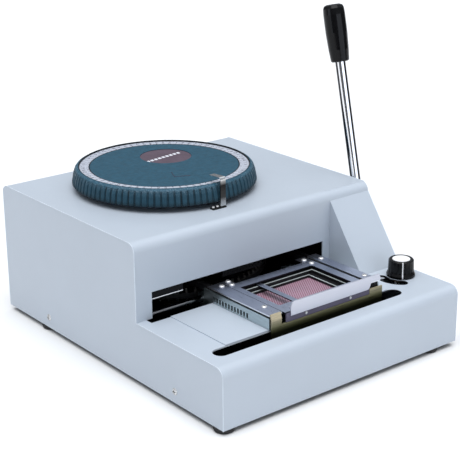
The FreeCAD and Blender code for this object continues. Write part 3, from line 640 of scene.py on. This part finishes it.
def cover_edges():
    """The rounded edges where the folded sheet meets its flat sides, in a paler paint that is a painted
    highlight along the bends.
    """
    bend = BEND_RADIUS
    y0, y1 = cover_low.y, cover_high.y
    riser = y0 + RISER_DEPTH
    top = cover_high.z
    base = cover_low.z
    front = [(y0, base), (y0, DECK - bend)] + arc((y0 + bend, DECK - bend), bend, 180, 90)
    step = [(riser, DECK), (riser, top - bend)] + arc((riser + bend, top - bend), bend, 180, 90)
    slope = [(y0 + WEDGE_FOOT, DECK), (y0 + WEDGE_HEAD, top)]
    rear = arc((y1 - bend, top - bend), bend, 90, 0) + [(y1, base)]
    for name, x, rise in (
        ("cover_edge_left", cover_low.x, step),
        ("cover_edge_right", cover_high.x, slope),
    ):
        points = [(x, y, z) for y, z in front + rise + rear]
        tube(name, points, 0.45 * MM, EDGE_HIGHLIGHT_PAINT, "chassis")


def corner_mark():
    """A thin moulded corner line on the dial's face."""
    places = ((-12.5, -30.7), (-20.3, -47.4), (-3.6, -54.9))
    points = [(DIAL[0] + x * MM, DIAL[1] + y * MM, DIAL_FACE + 0.05 * MM) for x, y in places]
    tube("corner_mark", points, 0.4 * MM, INK, "dial")


def knob_index():
    """The knob's white index line carried on down over its skirt."""
    low, high = corners("knob")
    centre = (low + high) / 2
    outline = ((14.5, 5.6), (15.15, 4.5), (16.35, 2.5), (16.35, 0.1))
    angle = math.radians(INDEX_ANGLE)
    along = Vector((math.cos(angle), math.sin(angle), 0))
    across = Vector((-along.y, along.x, 0))
    shape = bmesh.new()
    rows = []
    for radius, z in outline:
        row = []
        for out, side in ((-0.3, -0.65), (-0.3, 0.65), (0.12, 0.65), (0.12, -0.65)):
            place = Vector((centre.x, centre.y, low.z + z * MM))
            place += along * (radius + out) * MM + across * side * MM
            row.append(shape.verts.new(place))
        rows.append(row)
    for lower, upper in zip(rows, rows[1:]):
        for index in range(4):
            turn = (index + 1) % 4
            shape.faces.new((lower[index], lower[turn], upper[turn], upper[index]))
    shape.faces.new(rows[0][::-1])
    shape.faces.new(rows[-1])
    bmesh.ops.recalc_face_normals(shape, faces=shape.faces)
    mesh = bpy.data.meshes.new("knob_index")
    shape.to_mesh(mesh)
    shape.free()
    add_piece("knob_index", mesh, WHITE_PRINT, "selector")


def label_strokes():
    """A plain row of short slanted strokes across the label, instead of any lettering."""
    centre = (label_low + label_high) / 2
    joined = bmesh.new()
    count, pitch = 9, 6.1 * MM
    for index in range(count):
        along = (index - (count - 1) / 2) * pitch
        stroke = bmesh.new()
        bmesh.ops.create_cube(stroke, size=1.0)
        bmesh.ops.scale(stroke, vec=(4.3 * MM, 5.4 * MM, 0.04 * MM), verts=stroke.verts)
        bmesh.ops.translate(stroke, vec=(along, 0, 0), verts=stroke.verts)
        copy = bpy.data.meshes.new("stroke")
        stroke.to_mesh(copy)
        stroke.free()
        for vertex in copy.vertices:
            vertex.co.x += 0.25 * vertex.co.y
        joined.from_mesh(copy)
        bpy.data.meshes.remove(copy)
    mesh = bpy.data.meshes.new("label_strokes")
    joined.to_mesh(mesh)
    joined.free()
    place = Vector((centre.x - 4.3 * MM, centre.y - 1.4 * MM, label_high.z + PRINT_LIFT))
    mesh.transform(Matrix.Translation(place) @ Matrix.Rotation(math.radians(8.5), 4, "Z"))
    add_piece("label_strokes", mesh, WHITE_PRINT, "dial")


EDGE_HIGHLIGHT_PAINT = edge_highlight_paint()
WHITE_PRINT = white_print()
INK = ink()
ring_characters()
cover_edges()
corner_mark()
knob_index()
label_strokes()


# ---------------------------------------------------------------- floor, light and camera
def make_floor():
    mesh = bpy.data.meshes.new("floor")
    grid = bmesh.new()
    bmesh.ops.create_grid(grid, x_segments=2, y_segments=2, size=12.0)
    grid.to_mesh(mesh)
    grid.free()
    floor = bpy.data.objects.new("floor", mesh)
    bpy.context.collection.objects.link(floor)
    floor.data.materials.append(floor_paint())


def make_world():
    """A studio: soft light overhead, dark low walls and two bright boxes that gloss picks up."""
    world = bpy.data.worlds.new("studio")
    bpy.context.scene.world = world
    world.use_nodes = True
    tree = world.node_tree
    background = tree.nodes["Background"]

    def add(kind, **settings):
        node = tree.nodes.new(kind)
        for key, value in settings.items():
            setattr(node, key, value)
        return node

    def maths(operation, a, b, c=None):
        node = add("ShaderNodeMath", operation=operation)
        for socket, value in zip(node.inputs, (a, b, c)):
            if isinstance(value, (int, float)):
                socket.default_value = value
            elif value is not None:
                tree.links.new(value, socket)
        return node.outputs["Value"]

    split = add("ShaderNodeSeparateXYZ")
    tree.links.new(add("ShaderNodeTexCoord").outputs["Generated"], split.inputs["Vector"])
    x, y, z = (split.outputs[axis] for axis in "XYZ")
    ramp = add("ShaderNodeValToRGB")
    stops = [(0.40, 0.25), (0.50, 0.05), (0.62, 0.26), (0.72, 0.50), (0.82, 0.72), (1.0, 1.05)]
    elements = ramp.color_ramp.elements
    while len(elements) < len(stops):
        elements.new(0.5)
    for element, (place, value) in zip(elements, stops):
        element.position = place
        element.color = (value * 0.91, value * 0.96, value * 1.03, 1.0)
    tree.links.new(maths("MULTIPLY_ADD", z, 0.5, 0.5), ramp.inputs["Fac"])

    glow = None
    for heading, half_width, power in ((174.0, 15.0, 1.6), (-86.0, 28.0, 1.6)):
        towards = math.radians(heading)
        across = maths("MULTIPLY", x, math.cos(towards))
        facing = maths("MULTIPLY_ADD", y, math.sin(towards), across)
        edge = math.cos(math.radians(half_width))
        level = maths("MULTIPLY", maths("GREATER_THAN", facing, edge), power)
        glow = level if glow is None else maths("ADD", glow, level)
    low = maths("MULTIPLY", maths("GREATER_THAN", z, -0.02), maths("LESS_THAN", z, 0.26))
    glow = maths("MULTIPLY", glow, low)
    tinted = add("ShaderNodeCombineColor")
    for channel, share in (("Red", 0.87), ("Green", 0.94), ("Blue", 1.06)):
        tree.links.new(maths("MULTIPLY", glow, share), tinted.inputs[channel])
    total = add("ShaderNodeMix", data_type="RGBA", blend_type="ADD")
    total.inputs["Factor"].default_value = 1.0
    tree.links.new(ramp.outputs["Color"], total.inputs[6])
    tree.links.new(tinted.outputs["Color"], total.inputs[7])
    tree.links.new(total.outputs[2], background.inputs["Color"])

    white = add("ShaderNodeBackground")
    white.inputs["Color"].default_value = (1, 1, 1, 1)
    mix = add("ShaderNodeMixShader")
    tree.links.new(add("ShaderNodeLightPath").outputs["Is Camera Ray"], mix.inputs["Fac"])
    tree.links.new(background.outputs["Background"], mix.inputs[1])
    tree.links.new(white.outputs["Background"], mix.inputs[2])
    tree.links.new(mix.outputs["Shader"], tree.nodes["World Output"].inputs["Surface"])


def sun_light(name, direction, strength, spread):
    light = bpy.data.lights.new(name, "SUN")
    light.energy = strength
    light.angle = math.radians(spread)
    holder = bpy.data.objects.new(name, light)
    bpy.context.collection.objects.link(holder)
    holder.rotation_euler = Vector(direction).to_track_quat("-Z", "Y").to_euler()


def make_camera():
    """The viewer stands in front of the machine's left corner and looks down on it."""
    yaw, pitch, roll = (math.radians(a) for a in (38.646, 19.356, -0.406))
    level = math.cos(pitch)
    forward = Vector((level * math.sin(yaw), level * math.cos(yaw), -math.sin(pitch)))
    across = Vector((math.cos(yaw), -math.sin(yaw), 0))
    above = across.cross(forward)
    right = across * math.cos(roll) + above * math.sin(roll)
    up = above * math.cos(roll) - across * math.sin(roll)
    data = bpy.data.cameras.new("camera")
    data.lens = 98.275
    data.sensor_width = 36.0
    data.clip_end = 50.0
    camera = bpy.data.objects.new("camera", data)
    bpy.context.collection.objects.link(camera)
    facing = Matrix((right, up, -forward)).transposed().to_4x4()
    camera.matrix_world = Matrix.Translation((-0.8433, -1.0537, 0.5955)) @ facing
    bpy.context.scene.camera = camera


make_floor()
make_world()
sun_light("overhead", (0.16, 0.18, -1.0), 2.3, 60)
make_camera()
bpy.context.scene.view_settings.view_transform = "Standard"
